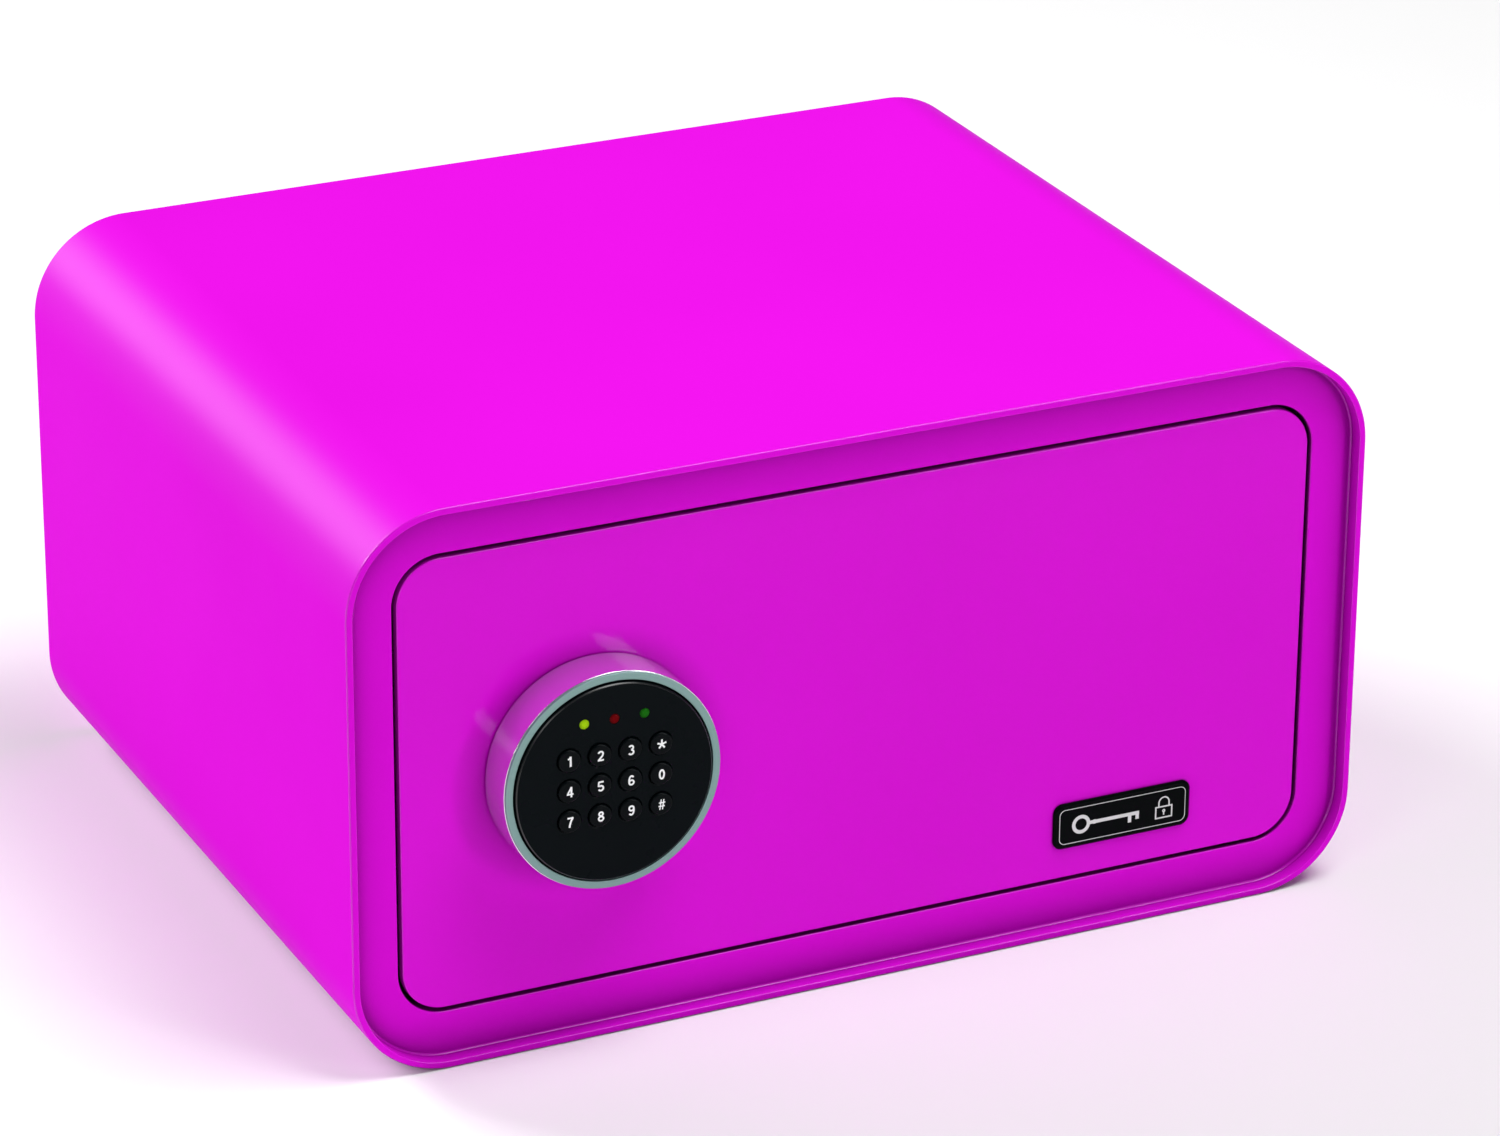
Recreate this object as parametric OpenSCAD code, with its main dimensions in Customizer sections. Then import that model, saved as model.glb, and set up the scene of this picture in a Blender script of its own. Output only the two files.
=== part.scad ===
// Electronic furniture safe with a rotary keypad knob.
// Millimetres. Origin at the centre of the casing's underside, +Z up, the door faces -Y.

/* [Casing] */
// Width of the casing
case_w = 430; // [380:1:480]
// Height of the casing
case_h = 230; // [210:1:280]
// Depth of the casing from front lip to back panel
case_d = 342; // [280:1:420]
// Outer corner radius of the casing
case_r = 40; // [34:0.5:50]
// Thickness of the casing sheet
sheet_t = 2.8; // [2:0.1:4]
// Thickness of the back panel
back_t = 2; // [1.5:0.5:4]
// Distance between the two anchor holes of a pair
anchor_pitch = 250; // [180:5:300]
// Radius of an anchor hole
anchor_r = 5; // [4:0.5:6]

/* [Front frame] */
// How far the frame and door lie behind the front lip
recess = 6.5; // [4:0.5:9]
// Thickness of the frame sheet
frame_t = 2; // [1.5:0.5:3]
// Casing's outside to the edge of the door aperture
frame_border = 20.8; // [18:0.2:24]
// Depth of the frame's return flange
flange_d = 24; // [22:1:30]

/* [Door] */
// Gap between the door and its aperture
door_gap = 1.7; // [1.2:0.1:2.5]
// Thickness of the door plate
door_t = 4; // [3:0.5:5]
// Depth of the lock tray behind the door plate
tray_d = 24; // [22:1:30]
// Thickness of the tray sheet
tray_t = 1.5; // [1:0.5:2]
// Thickness of the plastic inner cover
cover_t = 2.5; // [2:0.5:4]

/* [Hinge] */
// Door edge to the hinge axis, across the door
hinge_inset = 22.5; // [20:0.5:28]
// Door's front face to the hinge axis
hinge_depth = 9; // [8:0.5:9]
// Radius of the hinge pins
pin_r = 3; // [2.5:0.1:3]

/* [Knob] */
// Knob axis, across from the middle of the door
knob_x = -114; // [-120:1:-100]
// Knob axis above the underside
knob_z = 113.5; // [105:0.5:120]
// Outer radius of the knob
knob_r = 44.3; // [40:0.1:48]
// Front of the knob's metal rim, out from the door face
knob_h = 19.5; // [18:0.5:24]
// Width of the satin rim
rim_w = 3.3; // [2.5:0.1:4.5]
// Running gap between the knob and the door face
knob_gap = 0.8; // [0.5:0.1:1.5]
// How far the keypad face stands out of the rim
face_proud = 1; // [0.5:0.1:1.5]

/* [Keys] */
// Distance between neighbouring keys
key_pitch = 12.5; // [11.5:0.1:13]
// Radius of a key
key_r = 4.5; // [4:0.1:4.8]
// How far a key stands out of the keypad face
key_proud = 1.2; // [1:0.1:1.6]
// Height of the lamp row above the knob axis
lamp_row = 26; // [24:0.5:28]
// Radius of a lamp
lamp_r = 2; // [1.5:0.1:2.2]

/* [Bolt work] */
// Radius of a locking bolt
bolt_r = 8; // [6:0.5:9]
// Distance between the two bolts
bolt_pitch = 90; // [80:1:110]
// Radius at which the crank pin turns
crank_r = 13; // [12:0.5:14]

/* [Hidden] */
$fn = 96;
KEY_NAMES = [
    ["key_1", "key_2", "key_3", "key_star"],
    ["key_4", "key_5", "key_6", "key_0"],
    ["key_7", "key_8", "key_9", "key_hash"]
];
LAMP_NAMES = ["lamp_yellow", "lamp_red", "lamp_green"];
LAMP_COLOURS = ["yellowgreen", "darkred", "darkgreen"];
CABINET_NAMES = [
    "casing_shell", "back_panel", "front_frame", "hinge_bracket_top", "hinge_bracket_bottom", "floor_mat"
];
DOOR_NAMES = [
    "door_plate", "lock_tray", "hinge_pin_top", "hinge_pin_bottom", "hinge_spacers", "spindle_bush",
    "bolt_bushes", "guide_posts", "nameplate", "inner_cover", "cover_screws", "cover_pillars",
    "battery_holder", "battery_cells", "battery_contacts", "solenoid_frame", "solenoid_coil",
    "control_board", "wiring_loom"
];
MOVING_NAMES = [
    "knob_body", "knob_rim", "keypad_face", "keypad_board", "spindle", "spindle_screws", "crank_disc",
    "bolt_upper", "bolt_lower", "bolt_carrier", "carrier_rivets", "solenoid_plunger",
    "battery_cover", "program_button"
];

fit_gap = 0.1;    // between welded or clipped neighbours
run_gap = 0.06;   // radial, between a shaft and its hole
slide_gap = 0.3;  // between flat sliding faces

// Planes across the depth, front to back
front_y = -case_d / 2;
back_y = case_d / 2;
face_y = front_y + recess;
plate_back_y = face_y + door_t;
tray_back_y = plate_back_y + tray_d;
cover_back_y = tray_back_y + cover_t;
rim_y = face_y - knob_h;
keypad_y = rim_y - face_proud;
mid_z = case_h / 2;

// Aperture, door and tray outlines
aperture = [case_w - 2 * frame_border, case_h - 2 * frame_border, case_r - frame_border];
door = [aperture.x - 2 * door_gap, aperture.y - 2 * door_gap, aperture.z - door_gap];
tray_side = 8.5;  // door edge to tray, at its free side
tray_hinge_side = 6.5;
tray_x0 = -door.x / 2 + tray_side;
tray_x1 = door.x / 2 - tray_hinge_side;
tray_w = tray_x1 - tray_x0;
tray_mid_x = (tray_x0 + tray_x1) / 2;
tray_h = door.y - 11;
tray_r = 3;
tray_top_z = mid_z + tray_h / 2;

// Hinge
hinge_x = door.x / 2 - hinge_inset;
hinge_y = face_y + hinge_depth;
bracket_t = 3;
bracket_z = mid_z + aperture.y / 2 + 2.3;  // underside of the upper bracket's leaf
bracket_w = 32;
bracket_d = 19.5;
leaf_t = 2.5;
leaf_h = 4.5;
pin_head_h = 4.5;

// Knob and keypad stack
cup_y = face_y - knob_gap;
cup_floor_t = 3;
cup_floor_y = cup_y - cup_floor_t;
rim_t = 1;
rim_r = knob_r - 0.35;
face_r0 = knob_r - rim_w;
face_r = face_r0 - 0.8;
face_t = 2.2;
key_flange_t = 1;
key_flange_r = 5.5;
key_travel = 1;
key_hole_gap = 0.3;
board_t = 1.6;
board_y = keypad_y + 6.6;
board_r = 38.5;
switch_side = 5;
switch_h = 2.2;

// Spindle and bolt work
spindle_r = 9;
spindle_bore_r = 5;
flange_r = 16;
flange_t = 2.5;
bush_r = 12;
bush_flange_r = 14;
bush_flange_t = 0.5;
disc_y0 = plate_back_y + tray_t + 0.5;
disc_t = 4;
disc_r = 18;
crank_pin_r = 3;
bolt_y = plate_back_y + 10.5;
bolt_tip_x = tray_x0 - 5.5;
bolt_tail_x = -125;
bolt_slot_l = 13;
carrier_t = 3;
bolt_travel = 2 * crank_r * sin(45);
bush_wall = 0.9;
carrier_x0 = bolt_tail_x - bolt_slot_l + 1;
carrier_x1 = -40;
carrier_h = 80;
post_x = -75;
post_r = 3;
post_dz = 30;
slot_play = 0.5;  // each side of the crank pin, because a crank doesn't move its slot evenly

// Solenoid above the carrier
solenoid_x = -53.5;
plunger_r = 3.5;
plunger_tip_z = mid_z + carrier_h / 2 + slide_gap;
coil_z = mid_z + 49;
coil_h = 26;
coil_r = 9;
yoke_t = 1.5;
yoke_w = 22;

// Battery holder, 4 AA cells side by side
cell_r = 7.1;
cell_l = 49.2;
cell_pitch = 15;
cell_count = 4;
cell_y = plate_back_y + tray_t + 1.5 + cell_r + 0.1;
holder_x = 80;
holder_w = cell_count * cell_pitch + 4;
holder_l = 58;
holder_t = 1.5;
holder_y1 = tray_back_y - 0.5;
hatch_w = holder_w + 6;
hatch_l = holder_l + 6;
hatch_lip = 3;
button_x = 20;
button_z = 62;
button_r = 4;

// ---------- shapes ----------

module rounded_rect(size, r) {
    square([size.x - 2 * r, size.y], center = true);
    square([size.x, size.y - 2 * r], center = true);
    for (sx = [-1, 1], sy = [-1, 1])
        translate([sx * (size.x / 2 - r), sy * (size.y / 2 - r)]) circle(r);
}

// The children's X and Y become X and Z, and they reach from y0 to y1.
module along_y(y0, y1, x = 0, z = 0) {
    translate([x, y1, z]) rotate([90, 0, 0]) linear_extrude(y1 - y0) children();
}

module rod_y(r, y0, y1, x = 0, z = 0) {
    translate([x, y1, z]) rotate([90, 0, 0]) cylinder(r = r, h = y1 - y0);
}

module rod_x(r, x0, x1, y, z) {
    translate([x0, y, z]) rotate([0, 90, 0]) cylinder(r = r, h = x1 - x0);
}

module block(x, y, z) {
    translate([x[0], y[0], z[0]]) cube([x[1] - x[0], y[1] - y[0], z[1] - z[0]]);
}

// A slot along X from x0 to x1 with round ends of radius r.
module slot_x(x0, x1, z, r) {
    translate([x0, z - r]) square([x1 - x0, 2 * r]);
    translate([x0, z]) circle(r);
    translate([x1, z]) circle(r);
}

module mirror_z() {
    translate([0, 0, mid_z]) mirror([0, 0, 1]) translate([0, 0, -mid_z]) children();
}

// ---------- cabinet ----------

module casing_shell() color("magenta") difference() {
    along_y(front_y, back_y, 0, mid_z) difference() {
        rounded_rect([case_w, case_h], case_r);
        rounded_rect([case_w - 2 * sheet_t, case_h - 2 * sheet_t], case_r - sheet_t);
    }
    for (sx = [-1, 1])
        translate([sx * anchor_pitch / 2, 0, -1]) cylinder(r = anchor_r, h = sheet_t + 2);
}

module back_panel() color("magenta") along_y(back_y - back_t, back_y, 0, mid_z) difference() {
    inner_outline();
    for (sx = [-1, 1]) translate([sx * anchor_pitch / 2, 0]) circle(anchor_r);
}

module inner_outline() {
    inset = sheet_t + fit_gap;
    rounded_rect([case_w - 2 * inset, case_h - 2 * inset], case_r - inset);
}

module front_frame() color("magenta") {
    flange_y1 = face_y + frame_t + flange_d;
    along_y(face_y, face_y + frame_t, 0, mid_z) difference() {
        inner_outline();
        rounded_rect([aperture.x, aperture.y], aperture.z);
    }
    // return flange round the free side, the top and the bottom, with a hole for each bolt
    difference() {
        along_y(face_y + frame_t, flange_y1, 0, mid_z) difference() {
            rounded_rect([aperture.x + 2 * frame_t, aperture.y + 2 * frame_t], aperture.z + frame_t);
            rounded_rect([aperture.x, aperture.y], aperture.z);
            translate([140, -case_h / 2]) square([case_w, case_h]);
        }
        for (z = bolt_heights()) rod_x(bolt_r + 0.7, -case_w / 2, -case_w / 2 + 30, bolt_y, z);
    }
    door_stop();
    mirror_z() door_stop();
}

function bolt_heights() = [mid_z + bolt_pitch / 2, mid_z - bolt_pitch / 2];

// A tab that the closed door plate rests against.
module door_stop() {
    block([-60, -30], [plate_back_y + slide_gap, plate_back_y + slide_gap + 2],
          [mid_z + door.y / 2 - 3.5, mid_z + aperture.y / 2 + 0.5]);
}

module hinge_bracket_top() color("magenta") difference() {
    union() {
        block([hinge_x - bracket_w / 2, hinge_x + bracket_w / 2],
              [face_y + frame_t, face_y + frame_t + bracket_d], [bracket_z, bracket_z + bracket_t]);
        block([hinge_x - bracket_w / 2, hinge_x + bracket_w / 2],
              [face_y + frame_t, face_y + frame_t + leaf_t],
              [bracket_z + bracket_t, bracket_z + bracket_t + leaf_h]);
    }
    translate([hinge_x, hinge_y, bracket_z - 1]) cylinder(r = pin_r + run_gap, h = bracket_t + 2);
}

module hinge_bracket_bottom() mirror_z() hinge_bracket_top();

module floor_mat() color("dimgray") difference() {
    mat_w = case_w - 2 * case_r - 4;
    mat_y0 = cover_back_y + 6;
    mat_l = back_y - back_t - 3 - mat_y0;
    translate([0, mat_y0 + mat_l / 2, sheet_t]) linear_extrude(2.2) rounded_rect([mat_w, mat_l], 8);
    for (sx = [-1, 1])
        translate([sx * anchor_pitch / 2, 0, 0]) cylinder(r = anchor_r + 6, h = 10);
}

// ---------- door ----------

module door_plate() color("magenta") difference() {
    along_y(face_y, plate_back_y, 0, mid_z) rounded_rect([door.x, door.y], door.z);
    rod_y(bush_r, face_y - 1, plate_back_y + 1, knob_x, knob_z);
}

module lock_tray() color("silver") difference() {
    along_y(plate_back_y, tray_back_y, tray_mid_x, mid_z) rounded_rect([tray_w, tray_h], tray_r);
    along_y(plate_back_y + tray_t, tray_back_y + 1, tray_mid_x, mid_z)
        rounded_rect([tray_w - 2 * tray_t, tray_h - 2 * tray_t], tray_r - tray_t);
    rod_y(bush_r, plate_back_y - 1, plate_back_y + tray_t + 1, knob_x, knob_z);
    for (z = bolt_heights()) rod_x(bolt_r + bush_wall, tray_x0 - 1, tray_x0 + tray_t + 1, bolt_y, z);
    for (s = [-1, 1]) translate([hinge_x, hinge_y, mid_z + s * tray_h / 2 - 3]) cylinder(r = pin_r, h = 6);
}

module hinge_pin_top() color("silver") translate([hinge_x, hinge_y, 0]) {
    inner_z = tray_top_z - tray_t;
    translate([0, 0, inner_z - pin_head_h]) cylinder(r = pin_r + 0.4, h = pin_head_h);
    translate([0, 0, inner_z]) cylinder(r = pin_r, h = bracket_z + bracket_t + 3 - inner_z);
}

module hinge_pin_bottom() mirror_z() hinge_pin_top();

module hinge_spacer() color("white") translate([hinge_x, hinge_y, tray_top_z]) difference() {
    cylinder(r = pin_r + 0.8, h = bracket_z - slide_gap - tray_top_z);
    translate([0, 0, -1]) cylinder(r = pin_r, h = 30);
}

module hinge_spacers() {
    hinge_spacer();
    mirror_z() hinge_spacer();
}

module spindle_bush() color("white") difference() {
    union() {
        rod_y(bush_r, face_y, plate_back_y + tray_t, knob_x, knob_z);
        rod_y(bush_flange_r, face_y - bush_flange_t, face_y, knob_x, knob_z);
    }
    rod_y(spindle_r + run_gap, face_y - 2, plate_back_y + 5, knob_x, knob_z);
}

module bolt_bush(z) difference() {
    rod_x(bolt_r + bush_wall, tray_x0, tray_x0 + 12, bolt_y, z);
    rod_x(bolt_r + run_gap, tray_x0 - 1, tray_x0 + 13, bolt_y, z);
}

module bolt_bushes() color("white") for (z = bolt_heights()) bolt_bush(z);

module guide_post(z) {
    rod_y(post_r + 2, plate_back_y + tray_t, bolt_y - carrier_t / 2 - slide_gap, post_x, z);
    rod_y(post_r, bolt_y - carrier_t / 2 - slide_gap, bolt_y + carrier_t / 2 + slide_gap, post_x, z);
    rod_y(post_r + 2.5, bolt_y + carrier_t / 2 + slide_gap, bolt_y + carrier_t / 2 + 2, post_x, z);
}

module guide_posts() color("silver") for (s = [-1, 1]) guide_post(mid_z + s * post_dz);

module nameplate() color("black") {
    plate = [61, 19.5];
    edge = 0.5;
    along_y(face_y - 1.6 + edge, face_y, 114.3, 45.3) rounded_rect(plate, 4);
    along_y(face_y - 1.6, face_y - 1.6 + edge, 114.3, 45.3)
        rounded_rect([plate.x - 2 * edge, plate.y - 2 * edge], 4 - edge);
}

// ---------- inside the door ----------

screw_places = [
    [tray_x0 + 12, mid_z + 76], [tray_x0 + 12, mid_z - 76], [tray_x1 - 12, mid_z + 76],
    [tray_x1 - 12, mid_z - 76], [20, mid_z + 76], [20, mid_z - 76]
];

module inner_cover() color("dimgray") difference() {
    union() {
        along_y(tray_back_y, cover_back_y, tray_mid_x, mid_z) rounded_rect([tray_w, tray_h], tray_r);
        // raised border round the battery hatch
        along_y(cover_back_y, cover_back_y + 0.8, holder_x, mid_z)
            rounded_rect([hatch_w + 10, hatch_l + 10], 6);
    }
    along_y(tray_back_y - 1, cover_back_y + 2, holder_x, mid_z)
        rounded_rect([hatch_w - 2 * hatch_lip, hatch_l - 2 * hatch_lip], 2);
    along_y(cover_back_y - 1.2, cover_back_y + 2, holder_x, mid_z) rounded_rect([hatch_w, hatch_l], 4);
    rod_y(button_r + 0.3, tray_back_y - 1, cover_back_y + 1, button_x, button_z);
    for (p = screw_places) rod_y(2, tray_back_y - 1, cover_back_y + 1, p.x, p.y);
}

module cover_screw(p) difference() {
    union() {
        rod_y(2 - fit_gap, tray_back_y, cover_back_y, p.x, p.y);
        rod_y(3.6, cover_back_y, cover_back_y + 1.6, p.x, p.y);
    }
    block([p.x - 2.4, p.x + 2.4], [cover_back_y + 0.8, cover_back_y + 2], [p.y - 0.45, p.y + 0.45]);
    block([p.x - 0.45, p.x + 0.45], [cover_back_y + 0.8, cover_back_y + 2], [p.y - 2.4, p.y + 2.4]);
}

module cover_screws() color("silver") for (p = screw_places) cover_screw(p);

module cover_pillars() color("silver")
    for (p = screw_places) rod_y(4, plate_back_y + tray_t, tray_back_y, p.x, p.y);

module battery_holder() color("black") difference() {
    along_y(plate_back_y + tray_t, holder_y1, holder_x, mid_z) rounded_rect([holder_w, holder_l], 2);
    along_y(plate_back_y + tray_t + holder_t, holder_y1 + 1, holder_x, mid_z)
        rounded_rect([holder_w - 2 * holder_t, holder_l - 2 * holder_t], 1);
}

function cell_x(i) = holder_x + (i - (cell_count - 1) / 2) * cell_pitch;

// Each cell is a can with a nipple, and neighbours face opposite ways.
module battery_cells() color("goldenrod") for (i = [0:cell_count - 1])
    translate([cell_x(i), cell_y, mid_z]) rotate([i % 2 == 0 ? 0 : 180, 0, 0]) {
        translate([0, 0, -cell_l / 2]) cylinder(r = cell_r, h = cell_l);
        translate([0, 0, cell_l / 2]) cylinder(r = 2.7, h = 1.2);
    }

module battery_contacts() color("silver") for (i = [0:cell_count - 1], s = [-1, 1])
    block([cell_x(i) - 5, cell_x(i) + 5], [cell_y - 5, cell_y + 5],
          [mid_z + s * (holder_l / 2 - holder_t - 0.5) - 0.4, mid_z + s * (holder_l / 2 - holder_t - 0.5) + 0.4]);

module battery_cover() color("dimgray") {
    inset = 0.3;
    along_y(cover_back_y - 1.2 + slide_gap, cover_back_y + 0.6, holder_x, mid_z)
        rounded_rect([hatch_w - 2 * inset, hatch_l - 2 * inset], 4 - inset);
    // finger ridges
    for (k = [0:3])
        block([holder_x - 12, holder_x + 12], [cover_back_y + 0.6, cover_back_y + 1.4],
              [mid_z + hatch_l / 2 - 10 - 3 * k, mid_z + hatch_l / 2 - 8.8 - 3 * k]);
}

module program_button() color("red") {
    rod_y(button_r, tray_back_y - 1.5, cover_back_y + 1, button_x, button_z);
    rod_y(button_r + 1.5, tray_back_y - 2.5, tray_back_y - slide_gap, button_x, button_z);
}

module solenoid_frame() color("silver") difference() {
    block([solenoid_x - yoke_w / 2, solenoid_x + yoke_w / 2], [bolt_y - coil_r, bolt_y + coil_r],
          [coil_z - yoke_t, coil_z + coil_h + yoke_t]);
    block([solenoid_x - yoke_w / 2 - 1, solenoid_x + yoke_w / 2 + 1],
          [bolt_y - coil_r + yoke_t, bolt_y + coil_r + 1], [coil_z, coil_z + coil_h]);
    translate([solenoid_x, bolt_y, coil_z - 5]) cylinder(r = plunger_r + 0.2, h = 10);
}

module solenoid_coil() color("peru") translate([solenoid_x, bolt_y, coil_z]) difference() {
    radius = coil_r - yoke_t;
    cylinder(r = radius, h = coil_h);
    translate([0, 0, -1]) cylinder(r = plunger_r + 0.2, h = coil_h - 2);
}

module solenoid_plunger() color("silver") translate([solenoid_x, bolt_y, plunger_tip_z])
    cylinder(r = plunger_r, h = coil_z + 18 - plunger_tip_z);

module control_board() color("darkgreen") {
    y0 = plate_back_y + tray_t + 4;
    block([-22, 36], [y0, y0 + board_t], [mid_z + 10, mid_z + 50]);
    for (x = [-18, 32], z = [mid_z + 14, mid_z + 46]) rod_y(2.5, plate_back_y + tray_t, y0, x, z);
    block([-8, 6], [y0 + board_t, y0 + board_t + 2], [mid_z + 22, mid_z + 36]);
    rod_y(4, y0 + board_t, y0 + board_t + 8, 22, mid_z + 40);
    block([12, 30], [y0 + board_t, y0 + board_t + 5], [mid_z + 14, mid_z + 20]);
}

// A wire of radius r through a list of points, with a ball at each bend.
module wire(points, r) {
    $fn = 24;
    for (i = [0:len(points) - 2]) {
        step = points[i + 1] - points[i];
        translate(points[i])
            rotate([0, acos(step.z / norm(step)), atan2(step.y, step.x)]) cylinder(r = r, h = norm(step));
    }
    for (i = [1:len(points) - 2]) translate(points[i]) sphere(r);
}

loom_y = bolt_y + carrier_t / 2 + 5;
board_side = [-22, plate_back_y + tray_t + 4 + board_t + 1.2];
module wiring_loom() color("black") {
    wire([[knob_x, cup_floor_y, knob_z], [knob_x, loom_y, knob_z], [-60, loom_y, knob_z],
          [-30, loom_y, mid_z + 26], [-14, board_side[1], mid_z + 26]], 1.2);
    wire([[18, board_side[1] + 5, mid_z + 17], [30, board_side[1] + 5, mid_z + 2],
          [holder_x - holder_w / 2, board_side[1] + 5, mid_z + 2]], 0.9);
    wire([[solenoid_x + coil_r, bolt_y, coil_z + 20], [-25, bolt_y, coil_z + 20],
          [-14, board_side[1] + 1, mid_z + 44]], 0.9);
}

// ---------- knob ----------

module knob_body() color("silver") difference() {
    rod_y(knob_r, rim_y + rim_t, cup_y, knob_x, knob_z);
    rod_y(face_r0, rim_y - 1, cup_floor_y, knob_x, knob_z);
    rod_y(spindle_r + run_gap, cup_floor_y - 1, cup_y + 1, knob_x, knob_z);
    for (a = [30:120:270]) rod_y(1.6, cup_floor_y - 1, cup_y + 1,
                                 knob_x + 12.5 * cos(a), knob_z + 12.5 * sin(a));
}

module knob_rim() color("lightslategray") difference() {
    rod_y(rim_r, rim_y, rim_y + rim_t, knob_x, knob_z);
    rod_y(face_r0, rim_y - 1, rim_y + rim_t + 1, knob_x, knob_z);
}

function key_x(col) = knob_x + (col - 1.5) * key_pitch;
function key_z(row) = knob_z + (1 - row) * key_pitch;
function lamp_x(i) = knob_x + (i - 1) * 12.3;

module keypad_face() color("black") difference() {
    union() {
        rod_y(face_r, keypad_y + 0.4, keypad_y + face_t, knob_x, knob_z);
        rod_y(face_r - 0.4, keypad_y, keypad_y + 0.4, knob_x, knob_z);
        // skirt that stands on the cup's floor
        difference() {
            rod_y(face_r, keypad_y + face_t, cup_floor_y, knob_x, knob_z);
            rod_y(face_r - 1.2, keypad_y + face_t, cup_floor_y + 1, knob_x, knob_z);
        }
    }
    for (row = [0:2], col = [0:3])
        rod_y(key_r + key_hole_gap, keypad_y - 1, keypad_y + face_t + 1, key_x(col), key_z(row));
    for (i = [0:2]) rod_y(lamp_r + fit_gap, keypad_y - 1, keypad_y + face_t + 1, lamp_x(i), knob_z + lamp_row);
}

module key(row, col) color("black") {
    flange_y = keypad_y + face_t + fit_gap;
    round_h = 0.4;
    rod_y(key_r - round_h, keypad_y - key_proud, keypad_y - key_proud + round_h, key_x(col), key_z(row));
    rod_y(key_r, keypad_y - key_proud + round_h, flange_y, key_x(col), key_z(row));
    rod_y(key_flange_r, flange_y, flange_y + key_flange_t, key_x(col), key_z(row));
}

module lamp(i) color(LAMP_COLOURS[i])
    rod_y(lamp_r, keypad_y, board_y, lamp_x(i), knob_z + lamp_row);

module keypad_board() color("darkgreen") {
    difference() {
        rod_y(board_r, board_y, board_y + board_t, knob_x, knob_z);
        rod_y(3, board_y - 1, board_y + board_t + 1, knob_x, knob_z - 24);
    }
    for (row = [0:2], col = [0:3])
        block([key_x(col) - switch_side / 2, key_x(col) + switch_side / 2],
              [board_y - switch_h, board_y], [key_z(row) - switch_side / 2, key_z(row) + switch_side / 2]);
}

module spindle() color("silver") difference() {
    union() {
        rod_y(flange_r, cup_floor_y - flange_t, cup_floor_y, knob_x, knob_z);
        rod_y(spindle_r, cup_floor_y, disc_y0, knob_x, knob_z);
    }
    rod_y(spindle_bore_r, cup_floor_y - 10, disc_y0 + 10, knob_x, knob_z);
    for (a = [30:120:270]) rod_y(1.6, cup_floor_y - flange_t - 1, cup_floor_y + 1,
                                 knob_x + 12.5 * cos(a), knob_z + 12.5 * sin(a));
}

module spindle_screws() color("silver") for (a = [30:120:270]) {
    x = knob_x + 12.5 * cos(a);
    z = knob_z + 12.5 * sin(a);
    rod_y(1.6 - fit_gap, cup_floor_y - flange_t, cup_y - 0.5, x, z);
    rod_y(2.8, cup_floor_y - flange_t - 1.4, cup_floor_y - flange_t, x, z);
}

crank_x = knob_x + crank_r * sin(45);
crank_z = knob_z + crank_r * cos(45);

module crank_disc() color("silver") difference() {
    union() {
        rod_y(disc_r, disc_y0, disc_y0 + disc_t, knob_x, knob_z);
        rod_y(crank_pin_r, disc_y0 + disc_t, bolt_y + carrier_t / 2 + 2, crank_x, crank_z);
    }
    rod_y(spindle_bore_r, disc_y0 - 1, disc_y0 + disc_t + 1, knob_x, knob_z);
}

// ---------- bolt work ----------

module bolt(z) color("silver") difference() {
    union() {
        rod_x(bolt_r - 1, bolt_tip_x, bolt_tip_x + 1, bolt_y, z);
        rod_x(bolt_r, bolt_tip_x + 1, bolt_tail_x, bolt_y, z);
    }
    block([bolt_tail_x - bolt_slot_l, bolt_tail_x + 1],
          [bolt_y - carrier_t / 2 - fit_gap, bolt_y + carrier_t / 2 + fit_gap], [z - bolt_r - 1, z + bolt_r + 1]);
    rod_y(2, bolt_y - bolt_r - 1, bolt_y + bolt_r + 1, bolt_tail_x - 6, z);
}

module bolt_upper() bolt(bolt_heights()[0]);
module bolt_lower() bolt(bolt_heights()[1]);

module carrier_rivets() color("silver")
    for (z = bolt_heights()) rod_y(2 - run_gap, bolt_y - bolt_r + 1, bolt_y + bolt_r - 1, bolt_tail_x - 6, z);

module bolt_carrier() color("lightgray")
    along_y(bolt_y - carrier_t / 2, bolt_y + carrier_t / 2, 0, mid_z) difference() {
        union() {
            translate([carrier_x0, -bolt_pitch / 2 - 6]) square([22, bolt_pitch + 12]);
            translate([carrier_x0, -carrier_h / 2]) square([carrier_x1 - carrier_x0, carrier_h]);
        }
        for (s = [-1, 1]) {
            translate([bolt_tail_x - 6, s * bolt_pitch / 2]) circle(2);
            slot_x(post_x, post_x + bolt_travel, s * post_dz, post_r + slide_gap);
        }
        // window for the wires, and the upright slot for the crank pin
        slot_x(knob_x, knob_x + bolt_travel, knob_z - mid_z, 4);
        crank_slot();
    }

module crank_slot() {
    half = crank_pin_r + slot_play;
    low = knob_z - mid_z + crank_r * cos(45);
    high = knob_z - mid_z + crank_r + 0.4;
    translate([crank_x - half, low - crank_pin_r - slide_gap]) square([2 * half, high - low + crank_pin_r + slide_gap]);
    translate([crank_x, high]) circle(half);
}

// ---------- one node at a time ----------

casing_shell();
back_panel();
front_frame();
hinge_bracket_top();
hinge_bracket_bottom();
floor_mat();
door_plate();
lock_tray();
hinge_pin_top();
hinge_pin_bottom();
hinge_spacers();
spindle_bush();
bolt_bushes();
guide_posts();
nameplate();
inner_cover();
cover_screws();
cover_pillars();
battery_holder();
battery_cells();
battery_contacts();
battery_cover();
program_button();
solenoid_frame();
solenoid_coil();
solenoid_plunger();
control_board();
wiring_loom();
knob_body();
knob_rim();
keypad_face();
keypad_board();
spindle();
spindle_screws();
crank_disc();
bolt_upper();
bolt_lower();
bolt_carrier();
carrier_rivets();
for (i = [0:2])
    lamp(i);
for (row = [0:2], col = [0:3])
    key(row, col);
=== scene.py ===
"""Furniture safe with a rotary keypad knob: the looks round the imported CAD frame."""
import math

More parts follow.
